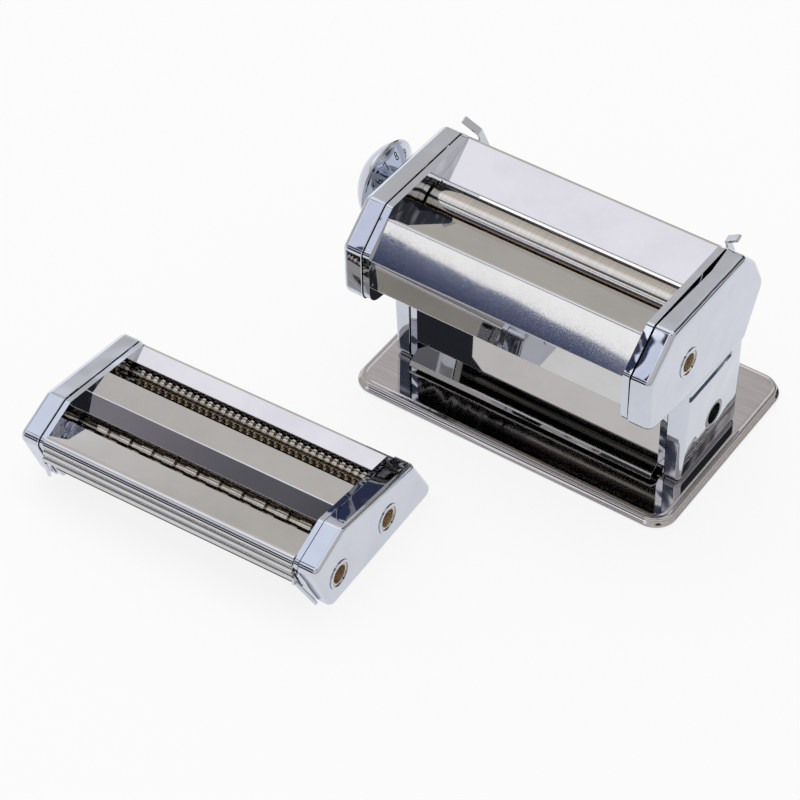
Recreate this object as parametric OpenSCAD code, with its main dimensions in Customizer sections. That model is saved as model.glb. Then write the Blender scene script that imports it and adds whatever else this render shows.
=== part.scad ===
// Hand cranked pasta machine: a roller machine on its base plate, with its cutter head set down beside it.
// X runs along the rollers to the crank side, Y runs to the back and Z runs up.
// The origin is on the table, under the middle of the space that the two take up together.

/* [Placing] */
// Place of the middle of the base plate along X
machine_x = 52; // [40:1:60]
// Place of the middle of the base plate along Y
machine_y = 78; // [70:1:90]

/* [Smooth rollers] */
// Working length of the smooth rollers
roller_length = 150; // [130:1:180]
// Diameter of the smooth rollers
roller_d = 22.8; // [21:0.2:24]
// Gap between the rollers as drawn
roller_gap = 0.6; // [0.5:0.1:1]
// Travel of the rear roller that opens the gap
gap_open = 2; // [1:0.1:2.2]
// Travel of the rear roller that closes the gap
gap_close = 0.4; // [0.1:0.1:0.4]
// Distance of the crank axis below the panel tops
crank_drop = 31.9; // [30:0.1:34]
// Distance of the crank axis in front of the middle
crank_reach = 38.5; // [37:0.5:40]
// Rise of the line from the front roller to the rear roller, in degrees
roller_rise = 18; // [14:1:22]
// Free space between a roller end and the side frame
end_play = 1; // [0.8:0.1:1.5]
// Radius of the plain journals
journal_r = 5; // [4.5:0.1:5.5]
// Radius of the hollow drive journals
drive_r = 7; // [6.8:0.1:7.2]
// Radius of the bore that takes the crank
socket_r = 5.2; // [4.5:0.1:5.4]
// Depth of the bore that takes the crank
socket_depth = 15; // [10:1:18]

/* [End panels] */
// Height of the panel tops at the front
panel_h = 133.5; // [132:0.5:136]
// Fall of the panel tops towards the back
panel_fall = 1.8; // [0.5:0.1:2.5]
// Reach of the panel tops in front of the middle
brow_reach = 54; // [52:0.5:56]
// Reach of the nose in front of the middle
nose_reach = 76.5; // [75:0.5:80]
// Fall from the panel tops to the upper corner of the nose
nose_top_drop = 18.5; // [17:0.5:20]
// Fall from the panel tops to the lower corner of the nose
nose_low_drop = 53; // [51:0.5:55]
// Reach of the panel tops behind the middle
top_reach = 16; // [14:0.5:17]
// Reach of the upper back corner
crown_reach = 28; // [27:0.5:30]
// Fall from the panel tops to the upper back corner
crown_drop = 14.5; // [13:0.5:17]
// Reach of the back shoulder
shoulder_reach = 38; // [37:0.5:41]
// Fall from the panel tops to the back shoulder
shoulder_drop = 34.5; // [32:0.5:37]
// Reach of the neck at the back, where the head meets the leg
neck_reach = 22; // [20:0.5:23]
// Fall from the panel tops to the neck at the back
neck_drop = 64.5; // [62:0.5:67]
// Reach of the leg in front of the middle
leg_front = 34; // [33:0.5:36]
// Fall from the panel tops to where the leg meets the head at the front
leg_top_drop = 60; // [58:0.5:62]
// Reach of the leg behind the middle, at its foot
leg_back = 26; // [25:0.5:28]
// Thickness of the side frames
frame_t = 3.9; // [3:0.1:4.5]
// Depth of the end covers
cover_depth = 12; // [11.5:0.5:15]
// Seam between a side frame and its cover
seam = 0.6; // [0.4:0.1:1]
// Wall of the end covers
cover_wall = 1.2; // [0.8:0.1:1.5]
// Lean of the leg faces, in degrees
leg_lean = 2.4; // [1:0.2:3]

/* [Base plate] */
// Overhang of the base plate past each end panel
base_overhang = 7; // [5:0.5:12]
// Depth of the base plate, front to back
base_w = 130; // [124:1:150]
// Corner radius of the base plate
base_corner = 13; // [11:0.5:18]
// Height of the top of the base plate
base_h = 6.5; // [6:0.1:8]
// Width of the ridged rim
rim_w = 4.6; // [4:0.2:6]
// Sheet thickness of the base plate
base_t = 1.2; // [1:0.1:1.5]
// Height of the rim above the table, given by the rubber feet
foot_gap = 1; // [0.6:0.1:1.5]
// Radius of the rubber feet
foot_r = 7; // [5:0.5:9]

/* [Sheets of the machine] */
// Thickness of the bent sheets
sheet_t = 0.8; // [0.6:0.1:1]
// Height of the tray between the legs
tray_z = 16.5; // [16:0.5:18]
// Reach of the flat of the tray in front of the middle
tray_front = 29.6; // [28:0.2:31]
// Free space between the rear sheet and the rear roller
sheet_gap = 2.2; // [2:0.1:2.6]
// Width of the feed opening between the front sheet and the rear roller
feed_gap = 6; // [5:0.2:7]
// Width of the folded hems
hem_w = 3.4; // [2.5:0.1:4]

/* [Thickness knob] */
// Radius of the knob
knob_r = 23.5; // [21:0.5:25]
// Length of the knob's dome
dome_h = 13; // [11:0.5:15]
// Distance from the end cover to the rim of the knob
knob_stand = 13.5; // [12.5:0.5:16]
// Radius of the regulator shaft
regulator_r = 6; // [5:0.2:6.4]
// How far the knob pulls out
knob_pull = 3.5; // [2:0.5:4]
// Number of thickness settings
knob_settings = 9; // [6:1:9]

/* [Cutter head] */
// Place of the cutter head's middle along X
cutter_x = -56.9; // [-90:0.1:-30]
// Place of the cutter head's middle along Y
cutter_y = -78; // [-110:1:-76]
// Turn of the cutter head on the table, in degrees
cutter_turn = 2; // [0:0.5:8]
// Length of the cutter rollers
cutter_length = 150; // [130:1:180]
// Free space between a cutter roller end and its side frame
cutter_play = 2.5; // [2:0.1:3]
// Outer diameter of the cutting discs
disc_d = 19.2; // [18:0.2:19.6]
// Overlap of the discs of a pair
disc_overlap = 1.6; // [1.2:0.1:2]
// Depth of the grooves between the discs
groove_depth = 2; // [2:0.1:2.4]
// Width of a wide disc
wide_w = 6.9; // [5:0.1:8]
// Width of a narrow disc
narrow_w = 2; // [1.6:0.1:2.6]
// Side clearance between the discs of a pair
disc_clear = 0.2; // [0.15:0.05:0.3]
// Height of the cutter axes above the table
cutter_z = 18.9; // [18:0.1:20]
// Distance of the wide drive axis in front of the middle
wide_reach = 39.5; // [38.5:0.5:41]
// Distance of the narrow drive axis behind the middle
narrow_reach = 5.5; // [5:0.5:7]
// Thickness of the cutter head's side frames
cutter_frame_t = 3; // [2.5:0.1:3.5]
// Depth of the cutter head's end covers
cutter_depth = 11.8; // [11:0.2:14]

/* [Hidden] */
$fn = 64;

// Clearances and the overrun of cuts
run_fit = 0.05;
fixed_fit = 0.02;
slide_clear = 0.3;
over = 1;
// Places along X, from the middle outwards
frame_in = roller_length / 2 + end_play;
frame_out = frame_in + frame_t;
cover_in = frame_out + seam;
cover_out = cover_in + cover_depth;
// Heights of the head, all taken down from the panel tops
crank_z = panel_h - crank_drop;
nose_top_z = panel_h - nose_top_drop;
nose_low_z = panel_h - nose_low_drop;
crown_z = panel_h - crown_drop;
shoulder_z = panel_h - shoulder_drop;
neck_z = panel_h - neck_drop;
leg_top_z = panel_h - leg_top_drop;
// Places of the roller axes in the Y and Z of a cross-section
roller_r = roller_d / 2;
axis_gap = roller_d + roller_gap;
along = [cos(roller_rise), sin(roller_rise)];
front_axis = [-crank_reach, crank_z];
rear_axis = front_axis + axis_gap * along;
// Bearings and gears
bush_wall = 2;
block_l = 16;
block_h = 14;
block_gap = 0.1;
gear_w = 6;
gear_gap = 1.6;
gear_teeth = 11;
pressure_angle = 25;
gear_slack = 0.35;
root_share = 1.2;
// Base plate
base_l = 2 * (cover_out + base_overhang);
bead_r = 1.25;
foot_inset = 16;
screw_r = 2;
screw_head_r = 3.5;
screw_head_h = 2;
flange_w = 6;
flange_t = 3;
flange_front = 24;
flange_back = 12;
screw_places_y = [-16, 6];
// Panel corners
brow_r = 5;
top_r = 6;
crown_r = 16;
shoulder_r = 9;
nose_top_r = 5;
nose_low_r = 10;
foot_corner_r = 4.2;
frame_inset = 0.8;
lip_inset = 1.2;
lip_t = 0.8;
leg_rise = 4;
leg_step = 0.5;
groove_reach = 8;
groove_drop = 63.5;
groove_z = panel_h - groove_drop;
groove_fall = 0.6;
groove_w = 3.4;
groove_tip = 0.8;
groove_cut = 1.6;
// Holes on the crank side
collar_wall = 1.3;
clamp_reach = 2.4;
clamp_z = 33.8;
clamp_r = 8.1;
clamp_wall = 2;
// Sheets: corners of their cross-sections
slope_front = 57.6;
slope_drop = 5.6;
slope_z = panel_h - slope_drop;
hip_inset = 1.9;
hip_reach = nose_reach - hip_inset;
hip_drop = 21.7;
hip_z = panel_h - hip_drop;
apron_inset = 2.1;
apron_reach = nose_reach - apron_inset;
apron_low_drop = 44.5;
apron_low_z = panel_h - apron_low_drop;
cover_slope_angle = 145;
rear_edge_angle = 59;
back_top_reach = 17.3;
back_top_drop = 3.9;
back_top_z = panel_h - back_top_drop;
back_crown_reach = 25.4;
back_crown_drop = 15.5;
back_crown_z = panel_h - back_crown_drop;
back_shoulder_reach = 34;
back_shoulder_drop = 34;
back_shoulder_z = panel_h - back_shoulder_drop;
back_low_reach = 31.5;
back_low_drop = 40.5;
back_low_z = panel_h - back_low_drop;
tray_lip_reach = 39.4;
tray_lip_z = 10.8;
tray_roll = 2;
tray_back = 20;
tray_drop = 5;
bend_r = 2;
hem_space = 0.3;
bend_steps = 4;
corner_steps = 8;
scraper_t = 0.8;
scraper_gap = 0.35;
front_scraper_angle = 232;
rear_scraper_angle = 308;
scraper_run = 12;
scraper_lean = 28;
// Tie rods
rod_r = 3;
upper_rods = [[-62, -41.5], [13, -25.5]];
lower_rod = [15.8, 11.2];
rod_places = [for (p = upper_rods) [p.x, panel_h + p.y], lower_rod];
// Guide rails
rail_t = 1.2;
rail_len = 39;
rail_flare = 8;
rail_out = 4.6;
rail_in = 3.4;
rail_clear = 0.6;
rail_low_place = [36.5, -36];
rail_top_place = [25.6, -12];
rail_low = [rail_low_place.x, panel_h + rail_low_place.y];
rail_top = [rail_top_place.x, panel_h + rail_top_place.y];
// Regulator and knob, measured outwards from the end cover
cam_r = 10;
cam_t = 3.5;
cam_gap = 1.5;
collar_r = 12;
collar_len = 5.5;
hub_r = 10.5;
hub_gap = 0.3;
dial_lip = 2;
chamber_r = 9;
spring_wall = 1.6;
head_r = 8;
head_t = 2;
head_back = 6;
chamber_len = 9;
dial_len = 3;
// Smooth roller ends
ring_w = 2.6;
ring_groove = 0.8;
ring_cut = 0.5;
// Places inside the cutter head
cutter_in = cutter_length / 2 + cutter_play;
cutter_frame_out = cutter_in + cutter_frame_t;
cutter_cover_in = cutter_frame_out + seam;
cutter_out = cutter_cover_in + cutter_depth;
disc_r = disc_d / 2;
core_r = disc_r - groove_depth;
pair_gap = disc_d - disc_overlap;
wide_front_axis = [-wide_reach, cutter_z];
wide_rear_axis = [-wide_reach + pair_gap, cutter_z];
narrow_front_axis = [narrow_reach, cutter_z];
narrow_rear_axis = [narrow_reach + pair_gap, cutter_z];
// Corners of the cutter head's end panels
cutter_top = [-33.8, 46.8];
cutter_back_top = [31.2, 36];
cutter_back_foot = [50.2, 0];
cutter_front_foot = [-47.2, 0];
cutter_nose = [-60.4, 36.4];
cutter_corner_r = 5;
// Corners of the cutter head's sheets
cut_back_low = [19.4, 31.8];
cut_back_top = [30.4, 34.6];
cut_back_foot = [43.6, 9.6];
cut_mid_back = [-1.8, 40.8];
cut_ridge = [-17.6, 39.8];
cut_mid_low = [-26.8, 34.8];
cut_front_back = [-36.6, 33.9];
cut_front_top = [-59.2, 39.2];
cut_front_wall = [[-59.2, 33.8], [-58.2, 33], [-58.2, 28.6], [-59.2, 27.8], [-59.2, 22.4], [-57.2, 21.4]];
ridge_r = 1.6;
front_r = 3.8;
hook_pad = [1.2, 3.5, 5];
hook_at = [-59.4, 21];
hook_reach = 7;
hook_tip = [-49.4, 1.4];
hook_r = 1.1;
cutter_rods = [[-52.6, 26], [-8, 30], [36.2, 14]];
cutter_rod_r = 2.5;
comb_t = 1.2;
comb_clear = 0.35;
comb_low = 1.6;
comb_bar = 3;

// Vectors
function unit(v) = v / norm(v);
function left_of(v) = [-v.y, v.x];
function dir(angle) = [cos(angle), sin(angle)];

// A closed outline moved inwards by d; the outline runs clockwise
function inset(points, d) = let (n = len(points)) [for (i = [0:n - 1])
    let (a = points[(i + n - 1) % n], b = points[i], c = points[(i + 1) % n],
        n1 = -left_of(unit(b - a)), n2 = -left_of(unit(c - b)), m = unit(n1 + n2))
    b + m * d / (m * n1)];
function less(radii, d) = [for (r = radii) max(r - d, 0)];

// The tangent points and the centre of a rounded corner b between a and c
function half_angle(a, b, c) = acos(unit(a - b) * unit(c - b)) / 2;
function toward(b, a, c, r) = b + unit(a - b) * r / tan(half_angle(a, b, c));
function corner_centre(a, b, c, r) = b + unit(unit(a - b) + unit(c - b)) * r / sin(half_angle(a, b, c));

// An open path with its inner corners turned into arcs
function signed(a) = a > 180 ? a - 360 : a < -180 ? a + 360 : a;
function heading(v) = atan2(v.y, v.x);
function arc_points(a, b, c, r, steps) = let (p = toward(b, a, c, r), q = toward(b, c, a, r),
        m = corner_centre(a, b, c, r), from = heading(p - m), turn = signed(heading(q - m) - from))
    [for (k = [0:steps]) m + r * dir(from + turn * k / steps)];
function bent_path(points, r) = let (last = len(points) - 1) [for (i = [0:last])
    each i == 0 || i == last ? [points[i]]
        : arc_points(points[i - 1], points[i], points[i + 1], r, bend_steps)];
function beside(path, d) = let (last = len(path) - 1) [for (i = [0:last])
    let (n1 = left_of(unit(path[max(i, 1)] - path[max(i, 1) - 1])),
        n2 = left_of(unit(path[min(i, last - 1) + 1] - path[min(i, last - 1)])), m = unit(n1 + n2))
    path[i] + m * d / (m * n1)];
function backwards(list) = [for (i = [len(list) - 1:-1:0]) list[i]];

// A hem that folds back from the end b of the run a to b, on its left for side 1 and its right for side -1
function hem(a, b, side, t) = let (d = unit(b - a), n = left_of(d) * side * (t + hem_space))
    [b + n, b + n - d * hem_w];

// A closed outline with rounded corners; a radius of 0 leaves a corner sharp
module rounded_outline(points, radii) {
    n = len(points);
    polygon([for (i = [0:n - 1]) let (a = points[(i + n - 1) % n], b = points[i], c = points[(i + 1) % n])
        each radii[i] == 0 ? [b] : arc_points(a, b, c, radii[i], corner_steps)]);
}

// The machine in its place
module set_up() translate([machine_x, machine_y, 0]) children();

// Y and Z outlines and bodies laid along X
module along_x(x0, x1) translate([x0, 0, 0]) rotate([90, 0, 90]) linear_extrude(x1 - x0) children();
module rod(x0, x1, r, at) translate([x0, at.x, at.y]) rotate([0, 90, 0]) cylinder(h = x1 - x0, r = r);
module turned(at) translate([0, at.x, at.y]) rotate([0, 90, 0]) rotate_extrude() children();
module bent_sheet(path, t, x0, x1)
    along_x(x0, x1) polygon(concat(beside(path, t / 2), backwards(beside(path, -t / 2))));
module both_sides() {
    children();
    mirror([1, 0, 0]) children();
}

// End panels of the machine
function panel_points(foot) = [[-brow_reach, panel_h], [top_reach, panel_h - panel_fall],
    [crown_reach, crown_z], [shoulder_reach, shoulder_z], [neck_reach, neck_z], [leg_back, foot],
    [-leg_front, foot], [-leg_front, leg_top_z], [-nose_reach, nose_low_z], [-nose_reach, nose_top_z]];
panel_radii = [brow_r, top_r, crown_r, shoulder_r, 0, foot_corner_r, foot_corner_r, 0,
    nose_low_r, nose_top_r];
head_points = [[-brow_reach, panel_h], [top_reach, panel_h - panel_fall], [crown_reach, crown_z],
    [shoulder_reach, shoulder_z], [neck_reach, neck_z], [-leg_front, leg_top_z],
    [-nose_reach, nose_low_z], [-nose_reach, nose_top_z]];
head_radii = [brow_r, top_r, crown_r, shoulder_r, 0, 0, nose_low_r, nose_top_r];
leg_points = [[-leg_front, leg_top_z + leg_rise], [neck_reach - leg_step, leg_top_z + leg_rise],
    [leg_back, base_h], [-leg_front, base_h]];
leg_radii = [foot_corner_r, foot_corner_r, foot_corner_r, foot_corner_r];

module slot_outline(from, to) translate(rear_axis) rotate(roller_rise)
    translate([from, -block_h / 2]) square([to - from, block_h]);

module side_frame(drive) {
    difference() {
        union() {
            along_x(frame_in, frame_out)
                rounded_outline(inset(panel_points(base_h - frame_inset), frame_inset),
                    less(panel_radii, frame_inset));
            translate([frame_in - flange_w, -flange_front, base_h])
                cube([flange_w + over, flange_front + flange_back, flange_t]);
        }
        rod(frame_in - over, frame_out + over,
            (drive ? drive_r : journal_r) + bush_wall + fixed_fit, front_axis);
        along_x(frame_in - over, frame_out + over) block_slot();
        if (drive) rod(frame_in - over, frame_out + over, clamp_r + fixed_fit, [-clamp_reach, clamp_z]);
        for (y = screw_places_y)
            translate([frame_in - flange_w / 2, y, base_h - over])
                cylinder(h = flange_t + 2 * over, r = screw_r + fixed_fit);
    }
}

// The slot of a bearing block, longer than the block by the roller's travel
module block_slot() translate(rear_axis) rotate(roller_rise)
    translate([-block_l / 2 - gap_close - slide_clear, -block_h / 2 - block_gap])
        square([block_l + gap_close + gap_open + 2 * slide_clear, block_h + 2 * block_gap]);

module leg_tilt() translate([cover_out - leg_step, 0, neck_z]) rotate([0, leg_lean, 0])
    translate([leg_step - cover_out, 0, -neck_z]) children();

module end_cover(drive) {
    difference() {
        union() {
            along_x(cover_in, cover_out) rounded_outline(head_points, head_radii);
            difference() {
                leg_tilt() along_x(frame_in, cover_out - leg_step) rounded_outline(leg_points, leg_radii);
                translate([frame_in - cover_depth, -nose_reach, -over])
                    cube([cover_in - frame_in + cover_depth, 2 * nose_reach, panel_h]);
            }
            along_x(frame_out, cover_in + cover_wall) difference() {
                rounded_outline(inset(panel_points(base_h), lip_inset), less(panel_radii, lip_inset));
                rounded_outline(inset(panel_points(base_h), lip_inset + lip_t),
                    less(panel_radii, lip_inset + lip_t));
            }
        }
        along_x(cover_in - over, cover_out - cover_wall)
            rounded_outline(inset(head_points, cover_wall + lip_inset),
                less(head_radii, cover_wall + lip_inset));
        leg_tilt() along_x(frame_in - over, cover_out - leg_step - cover_wall)
            rounded_outline(inset(leg_points, cover_wall + lip_inset),
                less(leg_radii, cover_wall + lip_inset));
        along_x(cover_out - leg_step - groove_cut, cover_out + over)
            polygon([[-leg_front - over, groove_z], [groove_reach, groove_z - groove_fall],
                [groove_reach, groove_z - groove_fall - groove_tip],
                [-leg_front - over, groove_z - groove_w]]);
        if (drive) {
            rod(cover_in, cover_out + over, drive_r + collar_wall + fixed_fit, front_axis);
            rod(cover_in, cover_out + over, clamp_r + fixed_fit, [-clamp_reach, clamp_z]);
        } else {
            rod(cover_in, cover_out + over, regulator_r + bush_wall + fixed_fit, rear_axis);
        }
    }
}

module left_side_frame() color("gainsboro") set_up() mirror([1, 0, 0]) side_frame(false);
module right_side_frame() color("gainsboro") set_up() side_frame(true);
module left_end_cover() color("lightsteelblue") set_up() mirror([1, 0, 0]) end_cover(false);
module right_end_cover() color("lightsteelblue") set_up() end_cover(true);

// Base plate: a flat sheet inside a rim of two ridges
module corner_outline(inward) rounded_rect(base_l - 2 * inward, base_w - 2 * inward, base_corner - inward);
module rounded_rect(l, w, r) {
    square([l - 2 * r, w], center = true);
    square([l, w - 2 * r], center = true);
    for (x = [-1, 1], y = [-1, 1]) translate([x * (l / 2 - r), y * (w / 2 - r)]) circle(r = r);
}
module rim_section() {
    inner = base_corner - rim_w;
    step = base_corner - bead_r - (rim_w - bead_r) / 2;
    translate([inner, base_h - base_t]) square([step - inner, base_t]);
    translate([step - base_t, foot_gap + 2 * bead_r]) square([base_t, base_h - foot_gap - 2 * bead_r]);
    translate([step, base_h - bead_r]) circle(r = bead_r);
    translate([base_corner - bead_r, foot_gap + bead_r]) circle(r = bead_r);
    translate([step - base_t, foot_gap + bead_r]) square([base_corner - bead_r - step + base_t, bead_r]);
}
module rim_sweep() {
    for (x = [0, 1], y = [0, 1]) mirror([x, 0, 0]) mirror([0, y, 0])
        translate([base_l / 2 - base_corner, base_w / 2 - base_corner, 0])
            rotate_extrude(angle = 90) rim_section();
    for (y = [0, 1]) mirror([0, y, 0]) translate([base_corner - base_l / 2, base_w / 2 - base_corner, 0])
        rotate([90, 0, 90]) linear_extrude(base_l - 2 * base_corner) rim_section();
    for (x = [0, 1]) mirror([x, 0, 0]) translate([base_l / 2 - base_corner, base_w / 2 - base_corner, 0])
        rotate([90, 0, 0]) linear_extrude(base_w - 2 * base_corner) rim_section();
}
module screw_places() for (x = [-1, 1], y = screw_places_y)
    translate([x * (frame_in - flange_w / 2), y, 0]) children();
module base_plate() color("silver") set_up() difference() {
    union() {
        rim_sweep();
        translate([0, 0, base_h - base_t]) linear_extrude(base_t) corner_outline(rim_w);
    }
    screw_places() cylinder(h = base_h + over, r = screw_r + fixed_fit);
}
module rubber_feet() color("dimgray") set_up() for (x = [-1, 1], y = [-1, 1])
    translate([x * (base_l / 2 - foot_inset), y * (base_w / 2 - foot_inset), 0])
        cylinder(h = base_h - base_t, r = foot_r);
module base_screws() color("gray") set_up() screw_places() {
    translate([0, 0, base_h - base_t - screw_head_h]) cylinder(h = screw_head_h, r = screw_head_r);
    translate([0, 0, base_h - base_t - screw_head_h])
        cylinder(h = screw_head_h + base_t + flange_t, r = screw_r);
}

// Bent sheets
slope_edge = rear_axis + (roller_r + feed_gap) * dir(cover_slope_angle);
slope_fold = [-slope_front, slope_z];
hip = [-hip_reach, hip_z];
rear_edge = rear_axis + (roller_r + sheet_gap) * dir(rear_edge_angle);
back_top = [back_top_reach, back_top_z];

module front_cover() color("lightslategray") set_up() bent_sheet(
    concat(backwards(hem(slope_fold, slope_edge, -1, sheet_t)),
        bent_path([slope_edge, slope_fold, hip], bend_r), hem(slope_fold, hip, 1, sheet_t)),
    sheet_t, -frame_in, frame_in);
module front_apron() color("silver") set_up() bent_sheet(
    bent_path([[-apron_reach + 2 * sheet_t, hip_z - sheet_t], [-apron_reach + 2 * sheet_t, apron_low_z],
        [hem_w - apron_reach + 2 * sheet_t, apron_low_z]], bend_r / 2),
    sheet_t, -frame_in, frame_in);
module rear_cover() color("gainsboro") set_up() bent_sheet(
    concat([rear_edge], bent_path([rear_edge + (back_top - rear_edge) / 2, back_top,
        [back_crown_reach, back_crown_z], [back_shoulder_reach, back_shoulder_z],
        [back_low_reach, back_low_z]], bend_r)),
    sheet_t, -frame_in + rail_t, frame_in - rail_t);
module bottom_tray() color("darkgray") set_up() bent_sheet(
    bent_path([[tray_back, tray_z - tray_drop], [tray_back, tray_z], [-tray_front, tray_z],
        [-tray_lip_reach, tray_lip_z],
        [-tray_lip_reach - tray_roll / 2, tray_lip_z - tray_roll]], tray_roll / 2),
    sheet_t, -frame_in, frame_in);

// Guide rails behind the panels, flared outwards at the top
module guide_rail() {
    lean = heading(rail_top - rail_low);
    bend = rail_len - rail_flare;
    translate([0, rail_low.x, rail_low.y]) rotate([lean - 90, 0, 0])
        translate([0, rail_out, 0]) rotate([90, 0, 0]) {
        linear_extrude(rail_out + rail_in) polygon([[frame_in - rail_t, 0], [frame_in, 0],
            [frame_in, bend - rail_flare / 2], [frame_in - rail_t, bend - rail_flare / 2]]);
        linear_extrude(rail_out - rail_clear) polygon([[frame_in - rail_t, bend - rail_flare],
            [frame_in, bend - rail_flare], [frame_in, bend], [frame_in + rail_flare, rail_len],
            [frame_in + rail_flare - rail_t, rail_len + rail_t], [frame_in - rail_t, bend + rail_t]]);
    }
}
module left_guide_rail() color("tan") set_up() mirror([1, 0, 0]) guide_rail();
module right_guide_rail() color("tan") set_up() guide_rail();

// Inner fixed pieces
module tie_rods() color("gray") set_up() for (at = rod_places) rod(-frame_in, frame_in, rod_r, at);
function scraper_path(axis, angle, away) = let (tip = axis + (roller_r + scraper_gap) * dir(angle))
    [tip, tip + scraper_run * dir(away)];
module front_scraper() color("darkgray") set_up()
    bent_sheet(scraper_path(front_axis, front_scraper_angle, 180 + scraper_lean),
        scraper_t, -frame_in, frame_in);
module clamp_socket() color("dimgray") set_up() difference() {
    rod(frame_in, cover_out - leg_step - (neck_z - clamp_z) * sin(leg_lean),
        clamp_r, [-clamp_reach, clamp_z]);
    rod(frame_in - over, cover_out + over, clamp_r - clamp_wall, [-clamp_reach, clamp_z]);
}
module crank_bush() color("gold") set_up() difference() {
    rod(cover_out - cover_wall - over, cover_out + over / 2, drive_r + collar_wall, front_axis);
    rod(cover_in, cover_out + 2 * over, drive_r + run_fit, front_axis);
}
module front_roller_bushes() color("goldenrod") set_up() {
    difference() {
        rod(frame_in, frame_out, drive_r + bush_wall, front_axis);
        rod(frame_in - over, frame_out + over, drive_r + run_fit, front_axis);
    }
    difference() {
        rod(-frame_out, -frame_in, journal_r + bush_wall, front_axis);
        rod(-frame_out - over, over - frame_in, journal_r + run_fit, front_axis);
    }
}
module knob_collar() color("silver") set_up() mirror([1, 0, 0]) difference() {
    union() {
        rod(cover_out - cover_wall - over, cover_out + over, regulator_r + bush_wall, rear_axis);
        rod(cover_out, cover_out + collar_len, collar_r, rear_axis);
    }
    rod(cover_in, cover_out + collar_len + over, regulator_r + run_fit, rear_axis);
}

// Smooth rollers
module barrel() polygon([[0, -roller_length / 2], [roller_r, -roller_length / 2],
    [roller_r, ring_w - roller_length / 2], [roller_r - ring_cut, ring_w - roller_length / 2],
    [roller_r - ring_cut, ring_w + ring_groove - roller_length / 2],
    [roller_r, ring_w + ring_groove - roller_length / 2],
    [roller_r, roller_length / 2 - ring_w - ring_groove],
    [roller_r - ring_cut, roller_length / 2 - ring_w - ring_groove],
    [roller_r - ring_cut, roller_length / 2 - ring_w], [roller_r, roller_length / 2 - ring_w],
    [roller_r, roller_length / 2], [0, roller_length / 2]]);
gear_in = cover_in + gear_gap;
module front_roller() color("lightgray") set_up() difference() {
    union() {
        turned(front_axis) barrel();
        rod(roller_length / 2 - over, cover_out, drive_r, front_axis);
        rod(-frame_out - seam, over - roller_length / 2, journal_r, front_axis);
    }
    rod(cover_out - socket_depth, cover_out + over, socket_r, front_axis);
}
module rear_roller() color("lightgray") set_up() {
    turned(rear_axis) barrel();
    rod(roller_length / 2 - over, gear_in + gear_w, journal_r, rear_axis);
    rod(-frame_out - seam, over - roller_length / 2, journal_r, rear_axis);
}

// Involute gears, all with the same number of teeth
function involute(base, angle) = base * [cos(angle) + angle * PI / 180 * sin(angle),
    sin(angle) - angle * PI / 180 * cos(angle)];
function spun(p, angle) = [p.x * cos(angle) - p.y * sin(angle), p.x * sin(angle) + p.y * cos(angle)];
function roll_at(base, r) = sqrt(max(pow(r / base, 2) - 1, 0)) * 180 / PI;
module gear_outline(pitch_d, slack) {
    pitch = pitch_d / 2;
    module_size = pitch_d / gear_teeth;
    base = pitch * cos(pressure_angle);
    tip = pitch + module_size;
    root = pitch - root_share * module_size;
    tilt = 90 / gear_teeth - slack / pitch / 2 * 180 / PI;
    spread = roll_at(base, pitch) - pressure_angle;
    steps = 5;
    flank = [for (k = [0:steps]) spun(involute(base, roll_at(base, tip) * k / steps), -tilt - spread)];
    tooth = concat([unit(flank[0]) * root], flank, [for (p = backwards(flank)) [p.x, -p.y]],
        [[unit(flank[0]).x, -unit(flank[0]).y] * root]);
    polygon([for (i = [0:gear_teeth - 1]) each [for (p = tooth) spun(p, 360 * i / gear_teeth)]]);
}
module gear(at, x0, pitch_d, bore, phase) difference() {
    translate([x0, at.x, at.y]) rotate([90, 0, 90]) linear_extrude(gear_w) rotate(phase)
        gear_outline(pitch_d, gear_slack);
    rod(x0 - over, x0 + gear_w + over, bore, at);
}
closest = axis_gap - gap_close;
module front_gear() color("darkgray") set_up() gear(front_axis, gear_in, closest, drive_r, roller_rise);
module rear_gear() color("darkgray") set_up()
    gear(rear_axis, gear_in, closest, journal_r, roller_rise + 180 + 180 / gear_teeth);

// The rear roller's sliding blocks and its scraper
module bearing_block() difference() {
    along_x(frame_in - slide_clear, frame_out - block_gap) slot_outline(-block_l / 2, block_l / 2);
    rod(frame_in - over, frame_out + over, journal_r + run_fit, rear_axis);
}
module bearing_blocks() color("goldenrod") set_up() both_sides() bearing_block();
module rear_scraper() color("darkgray") set_up() {
    path = scraper_path(rear_axis, rear_scraper_angle, -scraper_lean);
    bent_sheet(path, scraper_t, -frame_in + slide_clear, frame_in - slide_clear);
    both_sides() difference() {
        along_x(roller_length / 2 + slide_clear / 2, frame_in - slide_clear) hull() {
            translate(path[0]) circle(r = scraper_t / 2);
            translate(rear_axis + block_l / 3 * along) circle(r = scraper_t);
            translate(path[1]) circle(r = scraper_t / 2);
        }
        rod(frame_in - flange_w, frame_out, journal_r + slide_clear, rear_axis);
    }
}

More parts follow.
